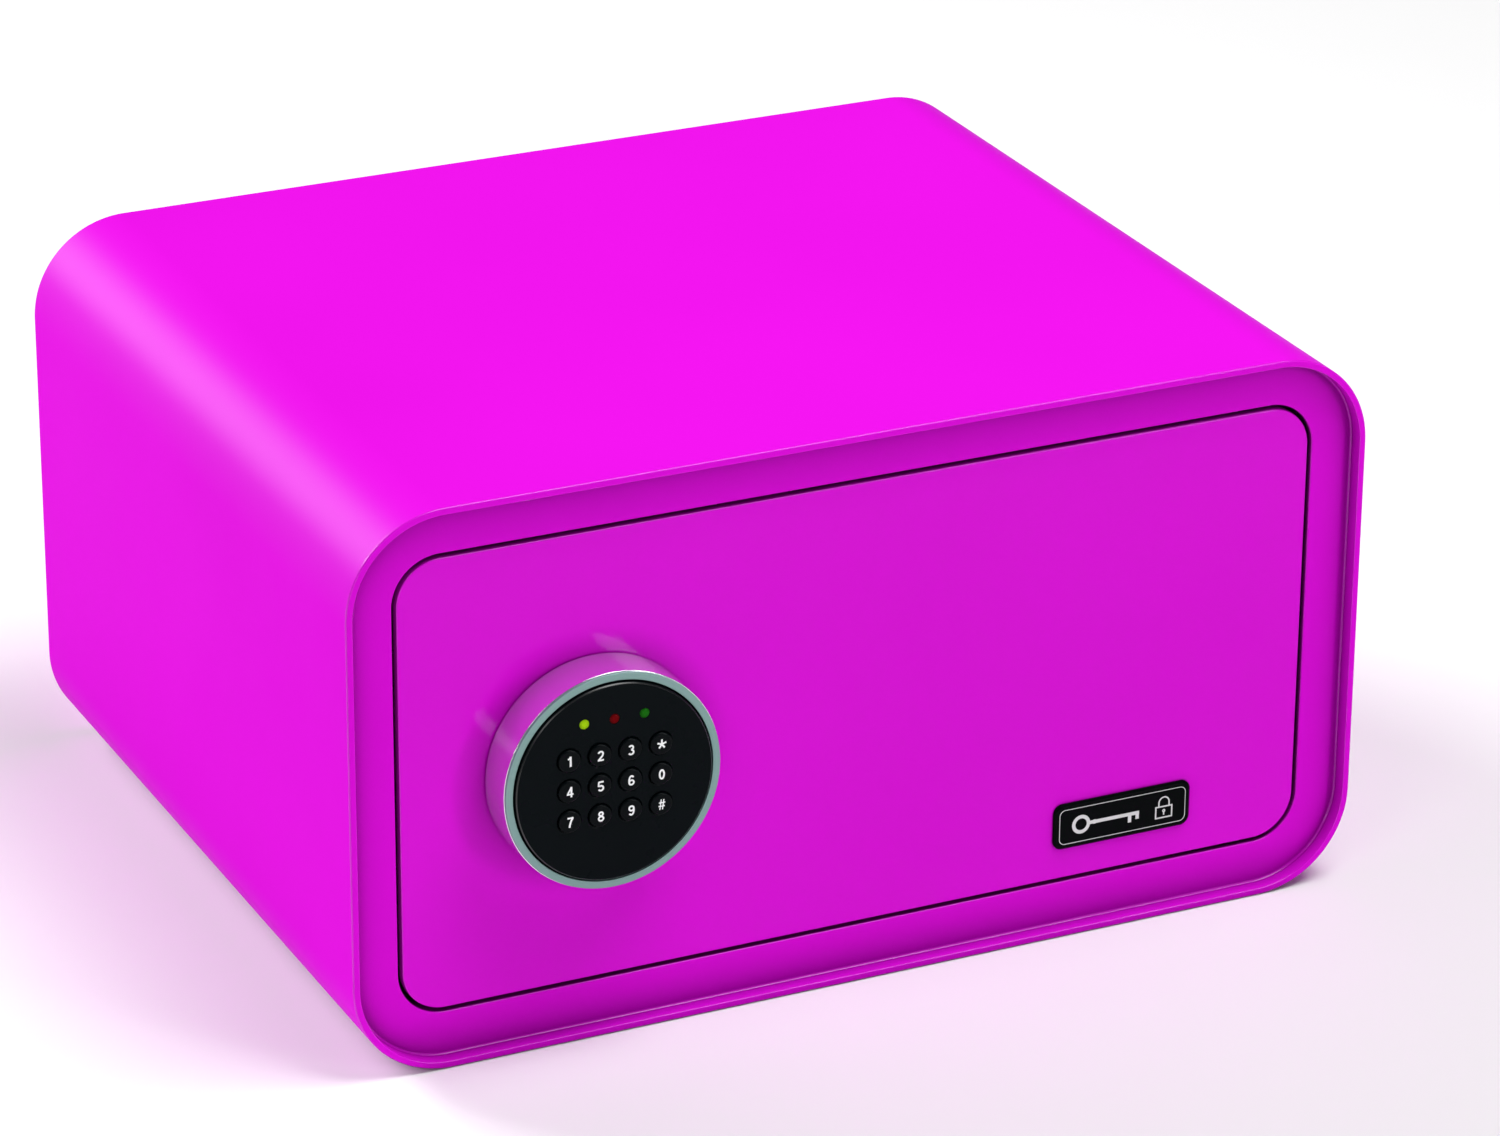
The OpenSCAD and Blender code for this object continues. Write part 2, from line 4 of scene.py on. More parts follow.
import bmesh
import bpy
from mathutils import Matrix, Vector, noise
from mathutils.geometry import delaunay_2d_cdt


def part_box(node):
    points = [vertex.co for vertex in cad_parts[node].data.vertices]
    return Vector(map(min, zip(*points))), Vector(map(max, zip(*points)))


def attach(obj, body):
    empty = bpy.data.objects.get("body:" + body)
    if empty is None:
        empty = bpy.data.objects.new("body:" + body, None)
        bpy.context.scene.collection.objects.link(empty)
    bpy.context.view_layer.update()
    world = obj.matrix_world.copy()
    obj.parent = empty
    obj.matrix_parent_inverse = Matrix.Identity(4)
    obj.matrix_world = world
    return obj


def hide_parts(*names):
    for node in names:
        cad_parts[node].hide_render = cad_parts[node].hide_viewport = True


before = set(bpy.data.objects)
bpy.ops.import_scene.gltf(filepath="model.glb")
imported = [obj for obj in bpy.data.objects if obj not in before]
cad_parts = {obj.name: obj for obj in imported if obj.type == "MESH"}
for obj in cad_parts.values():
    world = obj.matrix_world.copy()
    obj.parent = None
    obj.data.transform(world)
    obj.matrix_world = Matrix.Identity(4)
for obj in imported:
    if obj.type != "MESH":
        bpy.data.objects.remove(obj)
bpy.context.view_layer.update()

MM = 0.001

# ---------- sizes, in millimetres ----------


def node_box(node):
    low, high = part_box(node)
    return [v / MM for v in low], [v / MM for v in high]


def middle(low, high, axis):
    return (low[axis] + high[axis]) / 2


# Lowest and highest corners of the CAD nodes
SHELL_LO, SHELL_HI = node_box("casing_shell")
BACK_LO, BACK_HI = node_box("back_panel")
FLANGE_Y = node_box("front_frame")[1][1]
MAT_LO, MAT_HI = node_box("floor_mat")
DOOR_LO, DOOR_HI = node_box("door_plate")
BOLT_LO, BOLT_HI = node_box("bolt_upper")
KNOB_LO, KNOB_HI = node_box("knob_body")
RIM_LO, RIM_HI = node_box("knob_rim")
FACE_LO, FACE_HI = node_box("keypad_face")
PLATE_LO, PLATE_HI = node_box("nameplate")

# Casing: its outside, the thickness of its sheet, and the anchor holes
CASE_W = SHELL_HI[0] - SHELL_LO[0]
CASE_H = SHELL_HI[2] - SHELL_LO[2]
CASE_R = 40
MID_Z = CASE_H / 2
FRONT_Y, BACK_Y = SHELL_LO[1], SHELL_HI[1]
SHEET = 2.8
ANCHOR_X = (-125, 125)
ANCHOR_R = 5

# Door: its face, the gap round it, and how far its opening lies in from the casing's outside
FACE_Y = DOOR_LO[1]
DOOR_W = DOOR_HI[0] - DOOR_LO[0]
DOOR_H = DOOR_HI[2] - DOOR_LO[2]
DOOR_GAP = 1.7
APERTURE_INSET = 20.8
DOOR_R = CASE_R - APERTURE_INSET - DOOR_GAP

# Front frame: its sheet, the weld bead round it, and its flange, which the hinge side lacks
FRAME_T = 2.0
FRAME_INSET = SHEET + 0.02
WELD_R = 1.1
HINGE_SIDE_X = 140
BOLT_HOLE_R = 8.7

# Knob, its bores and rim, and the bush round its spindle
KNOB_X = middle(KNOB_LO, KNOB_HI, 0)
KNOB_Z = middle(KNOB_LO, KNOB_HI, 2)
KNOB_R = (KNOB_HI[0] - KNOB_LO[0]) / 2
KNOB_BORE_R = 41
KNOB_FLOOR_T = 3
SPINDLE_BORE_R = 9.05
RIM_R = 43.95
BUSH_R = 12.02

# Keypad face: the chamfer round it, its walls, and the holes for its keys and lamps
KEYPAD_Y = FACE_LO[1]
FACE_R = (FACE_HI[0] - FACE_LO[0]) / 2
FACE_EDGE = 0.42
FACE_T = 2.2
SKIRT_T = 1.2
KEY_PITCH = 12.5
KEY_HOLE_R = 4.8
LAMP_HOLE_R = 2.08
LAMP_R = 2.0

# Steps round a casing corner, round a small rounded edge, and round the knob and a key
CORNER_STEPS = 32
EDGE_STEPS = 5
KNOB_STEPS = 192
KEY_STEPS = 64
SHARP_ANGLE = 32
BOTH_CAPS = (True, True)
NO_CAPS = (False, False)

# ---------- mesh tools ----------


def fillet(corners, steps):
    """A closed polygon of (x, y, radius) corners as points, with each corner rounded."""
    out = []
    count = len(corners)
    for i, (x, y, r) in enumerate(corners):
        p = Vector((x, y))
        if r <= 0:
            out.append((x, y))
            continue
        u = (Vector(corners[i - 1][:2]) - p).normalized()
        v = (Vector(corners[(i + 1) % count][:2]) - p).normalized()
        half = u.angle(v) / 2
        centre = p + (u + v).normalized() * (r / math.sin(half))
        a = p + u * (r / math.tan(half)) - centre
        b = p + v * (r / math.tan(half)) - centre
        turn = a.angle_signed(b)
        for k in range(steps + 1):
            q = a.copy()
            q.rotate(Matrix.Rotation(-turn * k / steps, 2))
            out.append(tuple(centre + q))
    return out


def plate_section(corners, steps=EDGE_STEPS):
    """The rounded corners at the rim of a plate. From both ends the plate runs flat to its middle."""
    inward = 10
    (x0, y0, _), (x1, y1, _) = corners[0], corners[-1]
    return fillet(corners + [(x1 + inward, y1, 0), (x0 + inward, y0, 0)], steps)[:-2]


def outline(w, h, r, cx, cz, steps):
    """Points of a rounded rectangle in X and Z."""
    smallest_r = 0.3
    r = max(r, smallest_r)
    points = []
    for sx, sz, start in ((1, 1, 0), (-1, 1, 90), (-1, -1, 180), (1, -1, 270)):
        for k in range(steps + 1):
            a = math.radians(start + 90 * k / steps)
            points.append((cx + sx * (w / 2 - r) + r * math.cos(a),
                           cz + sz * (h / 2 - r) + r * math.sin(a)))
    return points


def smooth(obj, angle=SHARP_ANGLE, weighted=True):
    """Shades obj smooth, except at edges sharper than angle, in degrees."""
    for polygon in obj.data.polygons:
        polygon.use_smooth = True
    obj.data.set_sharp_from_angle(angle=math.radians(angle))
    if weighted:
        mod = obj.modifiers.new("weighted", "WEIGHTED_NORMAL")
        mod.keep_sharp = True
        mod.weight = 90
    return obj


def finished_object(name, bm, material):
    """An object from a bmesh, with its normals pointing out."""
    bmesh.ops.recalc_face_normals(bm, faces=bm.faces)
    mesh = bpy.data.meshes.new(name)
    bm.to_mesh(mesh)
    bm.free()
    mesh.materials.append(material)
    obj = bpy.data.objects.new(name, mesh)
    bpy.context.scene.collection.objects.link(obj)
    return obj


def from_rings(name, rings, material, caps, loop=False, angle=SHARP_ANGLE):
    """A mesh through closed rings of points. caps says which ends to fill, loop joins them."""
    bm = bmesh.new()
    rows = [[bm.verts.new(Vector(p) * MM) for p in ring] for ring in rings]
    count = len(rows[0])
    pairs = list(zip(rows, rows[1:])) + ([(rows[-1], rows[0])] if loop else [])
    for a, b in pairs:
        for i in range(count):
            j = (i + 1) % count
            bm.faces.new((a[i], a[j], b[j], b[i]))
    for wanted, row in zip(caps, (rows[0], rows[-1])):
        if wanted:
            bm.faces.new(row)
    bmesh.ops.remove_doubles(bm, verts=bm.verts, dist=1e-7)
    return smooth(finished_object(name, bm, material), angle)


def rect_loft(name, section, material, w=CASE_W, h=CASE_H, r=CASE_R, cx=0.0, cz=MID_Z,
              loop=True, caps=NO_CAPS, steps=CORNER_STEPS):
    """Sweeps a section of (inset, y) points round a rounded rectangle."""
    rings = [[(x, y, z) for x, z in outline(w - 2 * d, h - 2 * d, r - d, cx, cz, steps)]
             for d, y in section]
    return from_rings(name, rings, material, caps, loop)


def lathe(name, section, material, cx=KNOB_X, cz=KNOB_Z, steps=KNOB_STEPS,
          loop=False, caps=BOTH_CAPS, angle=SHARP_ANGLE):
    """Turns a section of (radius, y) points about an axis along Y."""
    turns = [2 * math.pi * k / steps for k in range(steps)]
    rings = [[(cx + r * math.cos(a), y, cz + r * math.sin(a)) for a in turns] for r, y in section]
    return from_rings(name, rings, material, caps, loop, angle)


def hole_cutter(x, y, z, r, length, axis="Y"):
    """A round cutter about (x, y, z) that lies along an axis."""
    quarter = math.pi / 2
    turn = {"X": (0, quarter, 0), "Y": (quarter, 0, 0), "Z": (0, 0, 0)}[axis]
    bpy.ops.mesh.primitive_cylinder_add(vertices=64, radius=r * MM, depth=length * MM,
                                        location=(x * MM, y * MM, z * MM), rotation=turn)
    return bpy.context.object


def box_cutter(low, high):
    bpy.ops.mesh.primitive_cube_add(size=1, location=[(a + b) / 2 * MM for a, b in zip(low, high)])
    obj = bpy.context.object
    obj.scale = [(b - a) * MM for a, b in zip(low, high)]
    return obj


def cut(obj, cutters):
    """Takes the cutters out of obj and removes them."""
    obj.modifiers.remove(obj.modifiers["weighted"])
    for cutter in cutters:
        mod = obj.modifiers.new("cut", "BOOLEAN")
        mod.operation = "DIFFERENCE"
        mod.solver = "EXACT"
        mod.object = cutter
    material = obj.data.materials[0]
    graph = bpy.context.evaluated_depsgraph_get()
    mesh = bpy.data.meshes.new_from_object(obj.evaluated_get(graph))
    obj.modifiers.clear()
    obj.data = mesh
    mesh.materials.clear()
    mesh.materials.append(material)
    for polygon in mesh.polygons:
        polygon.material_index = 0
    for cutter in cutters:
        bpy.data.objects.remove(cutter)
    smooth(obj)


def recoat(obj, material, chosen):
    """A second material for the faces that chosen picks by their middle, in millimetres, and normal."""
    obj.data.materials.append(material)
    for polygon in obj.data.polygons:
        if chosen(polygon.center / MM, polygon.normal):
            polygon.material_index = 1


def place(obj, body, slot, *nodes):
    """Says which body obj rides on and the CAD nodes that it replaces. slot, its material slot, is not
    used.
    """
    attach(obj, body)
    if nodes:
        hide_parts(*nodes)


# ---------- materials ----------


def shade(color, factor):
    return tuple(c * factor for c in color)


class Look:
    """A Principled material with the nodes that its detail needs. Noise scales are per metre."""

    def __init__(self, name, color, roughness, metallic=0.0, specular=0.5):
        self.mat = bpy.data.materials.new(name)
        self.mat.use_nodes = True
        self.tree = self.mat.node_tree
        self.bsdf = self.tree.nodes["Principled BSDF"]
        self.color = color
        self.set("Base Color", (*color, 1))
        self.set("Roughness", roughness)
        self.set("Metallic", metallic)
        self.set("Specular IOR Level", specular)
        self.mat.diffuse_color = (*color, 1)
        self.where = self.node("ShaderNodeTexCoord").outputs["Object"]

    def set(self, socket, value):
        self.bsdf.inputs[socket].default_value = value
        return self

    def node(self, kind, inputs=None, **values):
        n = self.tree.nodes.new(kind)
        for key, value in values.items():
            setattr(n, key, value)
        for key, value in (inputs or {}).items():
            n.inputs[key].default_value = value
        return n

    def link(self, a, b):
        self.tree.links.new(a, b)

    def texture(self, kind, inputs=None, **values):
        """A node that takes the place on the object, in metres, as its vector."""
        n = self.node(kind, inputs, **values)
        self.link(self.where, n.inputs["Vector"])
        return n

    def noise(self, scale, detail=3.0, rough=0.5, stretch=None):
        n = self.texture("ShaderNodeTexNoise", {"Scale": scale, "Detail": detail, "Roughness": rough})
        if stretch:
            stretched = self.texture("ShaderNodeMapping", {"Scale": stretch})
            self.link(stretched.outputs["Vector"], n.inputs["Vector"])
        return n.outputs["Fac"]

    def ranged(self, value, low, high, start=0.3, end=0.7):
        """Carries value from start..end over to low..high."""
        n = self.node("ShaderNodeMapRange",
                      {"From Min": start, "From Max": end, "To Min": low, "To Max": high})
        self.link(value, n.inputs["Value"])
        return n.outputs["Result"]

    def mix_color(self, factor, first, second):
        """Feeds the base colour with a mix of two colours, each a tuple or an output."""
        n = self.node("ShaderNodeMix", data_type="RGBA")
        sockets = [socket for socket in n.inputs if socket.type == "RGBA"]
        for socket, color in zip(sockets, (first, second)):
            if isinstance(color, tuple):
                socket.default_value = (*color, 1)
            else:
                self.link(color, socket)
        self.link(factor, n.inputs["Factor"])
        result = next(output for output in n.outputs if output.type == "RGBA")
        self.link(result, self.bsdf.inputs["Base Color"])

    def vary_color(self, value, other):
        self.mix_color(self.ranged(value, 0, 1), self.color, other)

    def paint_shade_in_hollows(self, distance_mm, painted_shade):
        """Painted shade: mixes the base colour towards a darker colour where other surfaces stand close
        round a point.
        """
        closed, clear = 0.38, 0.97
        hollow = self.node("ShaderNodeAmbientOcclusion", {"Distance": distance_mm * MM}, samples=8)
        openness = self.ranged(hollow.outputs["AO"], 0, 1, closed, clear)
        self.mix_color(openness, painted_shade, self.bsdf.inputs["Base Color"].links[0].from_socket)

    def gloss_on_bends(self, weight):
        """A soft coat that grows from the flat sides to the middle of the bends between them."""
        facing = self.node("ShaderNodeTexCoord").outputs["Normal"]
        split = self.node("ShaderNodeSeparateXYZ")
        product = self.node("ShaderNodeMath", operation="MULTIPLY")
        size = self.node("ShaderNodeMath", operation="ABSOLUTE")
        self.link(facing, split.inputs["Vector"])
        self.link(split.outputs["X"], product.inputs[0])
        self.link(split.outputs["Z"], product.inputs[1])
        self.link(product.outputs["Value"], size.inputs[0])
        coat = self.ranged(size.outputs["Value"], 0.0, weight, 0.0, 0.5)
        self.link(coat, self.bsdf.inputs["Coat Weight"])
        self.set("Coat Roughness", 0.42)

    def vary_roughness(self, value, low, high):
        self.link(self.ranged(value, low, high), self.bsdf.inputs["Roughness"])

    def bump(self, value, distance_mm, strength):
        """Adds a bump on top of any that is there already."""
        n = self.node("ShaderNodeBump", {"Strength": strength, "Distance": distance_mm * MM})
        self.link(value, n.inputs["Height"])
        previous = self.bsdf.inputs["Normal"].links
        if previous:
            self.link(previous[0].from_socket, n.inputs["Normal"])
        self.link(n.outputs["Normal"], self.bsdf.inputs["Normal"])

    def radius_from(self, x, z):
        """Distance from an axis along Y, in metres."""
        shift = self.node("ShaderNodeVectorMath", {1: (x * MM, 0, z * MM)}, operation="SUBTRACT")
        flat = self.node("ShaderNodeVectorMath", {1: (1, 0, 1)}, operation="MULTIPLY")
        length = self.node("ShaderNodeVectorMath", operation="LENGTH")
        self.link(self.where, shift.inputs[0])
        self.link(shift.outputs["Vector"], flat.inputs[0])
        self.link(flat.outputs["Vector"], length.inputs[0])
        return length.outputs["Value"]


def paint(name, color, ior, roughness, coat=0.0, hollow_mm=14, painted_shade=0.16, bend_gloss=0.0):
    """Semi-gloss powder coat with an orange peel, a slight change of tone, and painted shade in its
    hollows.
    """
    look = Look(name, color, roughness)
    look.set("IOR", ior).set("Coat Weight", coat).set("Coat Roughness", 0.17)
    if bend_gloss:
        look.gloss_on_bends(bend_gloss)
    look.vary_color(look.noise(5.0, 2.0), shade(color, 0.955))
    # Painted shade: the base colour darkens where other surfaces stand close
    look.paint_shade_in_hollows(hollow_mm, shade(color, painted_shade))
    look.vary_roughness(look.noise(40.0, 2.0), roughness - 0.04, roughness + 0.04)
    look.bump(look.noise(520.0, 2.0), 0.012, 0.5)
    look.bump(look.noise(2400.0, 1.0), 0.003, 0.5)
    return look.mat


def zinc(name):
    color = (0.60, 0.62, 0.65)
    look = Look(name, color, 0.38, 1.0)
    spangle = look.texture("ShaderNodeTexVoronoi", {"Scale": 90}, feature="F1")
    look.vary_color(spangle.outputs["Distance"], shade(color, 0.8))
    look.vary_roughness(look.noise(60.0), 0.30, 0.48)
    look.bump(look.noise(700.0), 0.01, 0.4)
    return look.mat


def turned_steel(name, color=(0.72, 0.73, 0.75), rough=(0.18, 0.30)):
    look = Look(name, color, 0.24, 1.0)
    lines = look.noise(1.0, 4.0, 0.7, stretch=(90, 90, 4000))
    look.vary_roughness(lines, *rough)
    look.vary_color(look.noise(120.0), shade(color, 0.86))
    look.bump(lines, 0.004, 0.4)
    return look.mat


def plastic(name, color, rough, grain, depth, ior=1.42):
    """Moulded plastic: rough is a range, grain the bump's noise scale and depth its height in mm."""
    look = Look(name, color, sum(rough) / 2).set("IOR", ior)
    look.vary_color(look.noise(35.0), shade(color, 0.88))
    look.vary_roughness(look.noise(90.0), *rough)
    look.bump(look.noise(grain, 2.0, 0.6), depth, 0.5)
    return look.mat


def circuit_board(name):
    look = Look(name, (0.012, 0.11, 0.045), 0.35)
    traces = look.texture("ShaderNodeTexBrick", {
        "Scale": 260, "Mortar Size": 0.12, "Color1": (0, 0, 0, 1), "Color2": (0.2, 0.2, 0.2, 1),
        "Mortar": (1, 1, 1, 1)})
    look.vary_color(traces.outputs["Fac"], (0.03, 0.20, 0.07))
    look.bump(traces.outputs["Fac"], 0.03, 0.5)
    return look.mat


def winding(name):
    look = Look(name, (0.48, 0.17, 0.05), 0.3, 0.7)
    wave = look.texture("ShaderNodeTexWave", {"Scale": 700, "Distortion": 0.6},
                        wave_type="BANDS", bands_direction="Z")
    look.vary_color(wave.outputs["Fac"], (0.25, 0.08, 0.02))
    look.bump(wave.outputs["Fac"], 0.15, 0.6)
    return look.mat


def cell_wrap(name):
    """Battery cells that change from a gold to a black sleeve at one height."""
    look = Look(name, (0.62, 0.33, 0.06), 0.3, 0.3)
    height = look.texture("ShaderNodeSeparateXYZ").outputs["Z"]
    look.vary_color(look.ranged(height, 0, 1, 0.098, 0.0985), (0.03, 0.03, 0.035))
    look.vary_roughness(look.noise(200.0), 0.22, 0.4)
    return look.mat


def felt(name):
    look = Look(name, (0.055, 0.055, 0.062), 0.95, 0.0, 0.2)
    look.set("Sheen Weight", 0.5).set("Sheen Roughness", 0.6)
    fibre = look.noise(1400.0, 6.0, 0.8)
    look.vary_color(fibre, (0.12, 0.12, 0.13))
    look.vary_roughness(look.noise(300.0), 0.85, 1.0)
    look.bump(fibre, 0.35, 0.9)
    return look.mat


def chrome(name):
    look = Look(name, (0.88, 0.88, 0.90), 0.10, 0.93)
    look.vary_roughness(look.noise(30.0, 4.0), 0.05, 0.10)
    look.bump(look.noise(1.0, 3.0, 0.6, stretch=(60, 2600, 60)), 0.001, 0.3)
    return look.mat


def satin_rim(name):
    """Metal faced on a lathe: its fine grooves run round the knob's axis."""
    look = Look(name, (0.225, 0.365, 0.345), 0.42, 0.55)
    grooves = look.node("ShaderNodeTexNoise", {"Scale": 5200, "Detail": 3}, noise_dimensions="1D")
    look.link(look.radius_from(KNOB_X, KNOB_Z), grooves.inputs["W"])
    look.vary_color(grooves.outputs["Fac"], (0.195, 0.325, 0.305))
    look.vary_roughness(grooves.outputs["Fac"], 0.38, 0.52)
    look.bump(grooves.outputs["Fac"], 0.004, 0.5)
    return look.mat


def lens(name, color, glow, x, z):
    """A lamp's lens, paler towards the middle. glow is how strongly the lamp is lit."""
    look = Look(name, color, 0.2).set("IOR", 1.08)
    to_middle = look.ranged(look.radius_from(x, z), 1.0, 0.0, 0.0, 2.2 * MM)
    look.vary_color(to_middle, shade(color, 1.35))
    if glow:
        look.set("Emission Color", (*color, 1)).set("Emission Strength", glow)
    look.bump(look.noise(900.0), 0.01, 0.3)
    return look.mat


MAGENTA = (0.68, 0.003, 0.66)
# The casing's copy of the paint is a little whiter: a slight painted sheen on its top and side.
MAGENTA_SHEEN = (0.68, 0.0055, 0.66)
# Every paint below darkens in its hollows: painted shade, strongest in the frame's recess and round the
# knob's base.
CASING_PAINT = paint("casing_paint", MAGENTA_SHEEN, 1.02, 0.38, hollow_mm=8, painted_shade=0.5, bend_gloss=0.135)
FRAME_PAINT = paint("frame_paint", MAGENTA, 1.06, 0.34, coat=0.03, hollow_mm=24, painted_shade=0.2)
DOOR_PAINT = paint("door_paint", MAGENTA, 1.02, 0.34, coat=0.14, hollow_mm=12, painted_shade=0.55)
EDGE_PAINT = paint("paint_on_edges", MAGENTA, 1.42, 0.22)
ZINC = zinc("zinc_plate")
STEEL = turned_steel("turned_steel")
CHROME = chrome("knob_chrome")
BOLT_CHROME = turned_steel("bolt_chrome", (0.86, 0.86, 0.87), (0.08, 0.16))
RIM = satin_rim("rim_satin")
KEYPAD = plastic("keypad_black", (0.0012, 0.0030, 0.0040), (0.26, 0.34), 1800.0, 0.006, 1.13)
KEY_BLACK = plastic("key_black", (0.0013, 0.0026, 0.0034), (0.22, 0.30), 1600.0, 0.006, 1.15)
# The disc's chamfer gets a lighter, glossier copy of the keypad black: partly a painted edge highlight,
# partly real gloss.
KEYPAD_EDGE_HIGHLIGHT = plastic("keypad_black_edge", (0.004, 0.005, 0.006), (0.22, 0.30), 1600.0, 0.003, 1.5)
FIGURE = plastic("figure_white", (0.93, 0.95, 0.95), (0.45, 0.55), 1500.0, 0.004, 1.2)
NAMEPLATE = plastic("nameplate_black", (0.0014, 0.0024, 0.0024), (0.14, 0.22), 900.0, 0.003, 1.10)
PRINT = plastic("nameplate_print", (0.66, 0.68, 0.67), (0.35, 0.45), 900.0, 0.003, 1.2)
DARK = plastic("dark_plastic", (0.035, 0.035, 0.04), (0.5, 0.65), 1000.0, 0.05)
NYLON = plastic("natural_nylon", (0.78, 0.77, 0.70), (0.4, 0.55), 800.0, 0.02)
RED_BUTTON = plastic("button_red", (0.55, 0.02, 0.02), (0.3, 0.4), 900.0, 0.01)
WIRE = plastic("wire_black", (0.02, 0.02, 0.022), (0.4, 0.5), 600.0, 0.02)
BOARD = circuit_board("circuit_board")
COPPER = winding("coil_winding")
CELLS = cell_wrap("cell_wrap")
FELT = felt("mat_felt")

# ---------- casing, back and frame ----------


def gloss_edges(obj, front_y, depth, steep=-0.97, shallow=-0.12):
    """Glossier paint on the rounded front edges, whose normals lie between steep and shallow in Y."""
    recoat(obj, EDGE_PAINT, lambda centre, normal:
           centre.y < front_y + depth and steep < normal.y < shallow)


def casing():
    section = fillet([(0, BACK_Y, 0.5), (0, FRONT_Y, 0.6), (SHEET, FRONT_Y, 0.4), (SHEET, BACK_Y, 0.4)],
                     EDGE_STEPS)
    shell = rect_loft("casing_painted", section, CASING_PAINT)
    cut(shell, [hole_cutter(x, 0, 0, ANCHOR_R, 20, "Z") for x in ANCHOR_X])
    gloss_edges(shell, FRONT_Y, 0.6)
    place(shell, "cabinet", "casing_paint", "casing_shell")


def back_panel():
    inset = SHEET + 0.1
    section = plate_section([(inset, BACK_LO[1], 0.3), (inset, BACK_HI[1], 0.5)], 4)
    back = rect_loft("back_painted", section, CASING_PAINT, loop=False, caps=BOTH_CAPS)
    cut(back, [hole_cutter(x, BACK_HI[1], MID_Z, ANCHOR_R, 20) for x in ANCHOR_X])
    place(back, "cabinet", "casing_paint", "back_panel")


def front_frame():
    """Recessed front sheet with a weld bead round it and a flange that the bolts run into."""
    bead = [(SHEET + WELD_R - WELD_R * math.cos(a), FACE_Y - WELD_R + WELD_R * math.sin(a))
            for a in (math.radians(15 * k) for k in range(1, 7))]
    flange_inset = APERTURE_INSET - FRAME_T
    flange = fillet([
        (10, FACE_Y, 0), (APERTURE_INSET, FACE_Y, 0.7), (APERTURE_INSET, FLANGE_Y, 0.5),
        (flange_inset, FLANGE_Y, 0.5), (flange_inset, FACE_Y + FRAME_T, 0)], EDGE_STEPS)
    section = [(FRAME_INSET, FACE_Y + FRAME_T), (FRAME_INSET, FACE_Y - WELD_R)] + bead + flange[1:]
    front = rect_loft("frame_painted", section, FRAME_PAINT)
    bolt_y = middle(BOLT_LO, BOLT_HI, 1)
    bolt_dz = middle(BOLT_LO, BOLT_HI, 2) - MID_Z
    flange_x = SHELL_LO[0] + APERTURE_INSET - FRAME_T / 2
    beyond = 5
    hinge_side = box_cutter((HINGE_SIDE_X, FACE_Y + FRAME_T, -beyond),
                            (CASE_W / 2 + 15, FLANGE_Y + beyond, CASE_H + beyond))
    bolt_holes = [hole_cutter(flange_x, bolt_y, MID_Z + side * bolt_dz, BOLT_HOLE_R, 26, "X")
                  for side in (-1, 1)]
    cut(front, [hinge_side] + bolt_holes)
    gloss_edges(front, FACE_Y, 0.7, -0.86, -0.6)
    place(front, "cabinet", "frame_paint", "front_frame")


# Door stops: width, place along X, reach above or below the middle, and a section of (inset, y)
STOP_W = 30
STOP_X = -45
STOP_RANGE = (89.0, 96.2)
STOP_SECTION = [(0.4, 0), (0.1, 0.1), (0, 0.4), (0, 1.6), (0.1, 1.9), (0.4, 2)]


def door_stop(name, side):
    """A tab behind the door's top edge (side 1) or bottom edge (side -1)."""
    stop_y = DOOR_HI[1] + 0.3
    low, high = sorted(MID_Z + side * z for z in STOP_RANGE)
    stop = rect_loft(name, [(inset, stop_y + y) for inset, y in STOP_SECTION], FRAME_PAINT,
                     STOP_W, high - low, 1.5, STOP_X, (low + high) / 2,
                     loop=False, caps=BOTH_CAPS, steps=6)
    place(stop, "cabinet", "frame_paint")


casing()
back_panel()
front_frame()
door_stop("door_stop_bottom", -1)
door_stop("door_stop_top", 1)

# ---------- floor mat ----------

MAT_R = 8
MAT_HOLE_R = 11


def felt_mat():
    """A loose felt mat whose top waves a little."""
    width, length = MAT_HI[0] - MAT_LO[0], MAT_HI[1] - MAT_LO[1]
    cy = middle(MAT_LO, MAT_HI, 1)
    low, high = MAT_LO[2] + 0.02, MAT_HI[2]
    rim = [(0.6, low), (0.15, low + 0.15), (0, low + 0.6),
           (0, high - 0.9), (0.15, high - 0.4), (0.6, high - 0.2)]
    top = [(4 + 7 * k, high - 0.15) for k in range(20)]
    wave_length, wave_height, edge_wave_height = 45, 0.15, 0.045
    rings = []
    for inset, z in rim + top:
        wave = 0.0
        if z > high - 1:
            wave = wave_height if inset > 1 else edge_wave_height
        ring = [(x, y, z + wave * noise.noise(Vector((x / wave_length, y / wave_length, 3.0))))
                for x, y in outline(width - 2 * inset, length - 2 * inset, MAT_R - inset, 0, cy, 24)]
        rings.append(ring)
    mat = from_rings("mat_felted", rings, FELT, BOTH_CAPS)
    cut(mat, [hole_cutter(x, 0, 3, MAT_HOLE_R, 20, "Z") for x in ANCHOR_X])
    place(mat, "cabinet", "mat_felt", "floor_mat")


felt_mat()

# ---------- door ----------


def door_plate():
    section = plate_section([(0, DOOR_HI[1], 0.5), (0, FACE_Y, 0.7)])
    door = rect_loft("door_painted", section, DOOR_PAINT, DOOR_W, DOOR_H, DOOR_R,
                     loop=False, caps=BOTH_CAPS)
    cut(door, [hole_cutter(KNOB_X, FACE_Y, KNOB_Z, BUSH_R, 20)])
    gloss_edges(door, FACE_Y, 0.7)
    place(door, "door", "door_paint", "door_plate")


door_plate()

# ---------- knob and keypad ----------


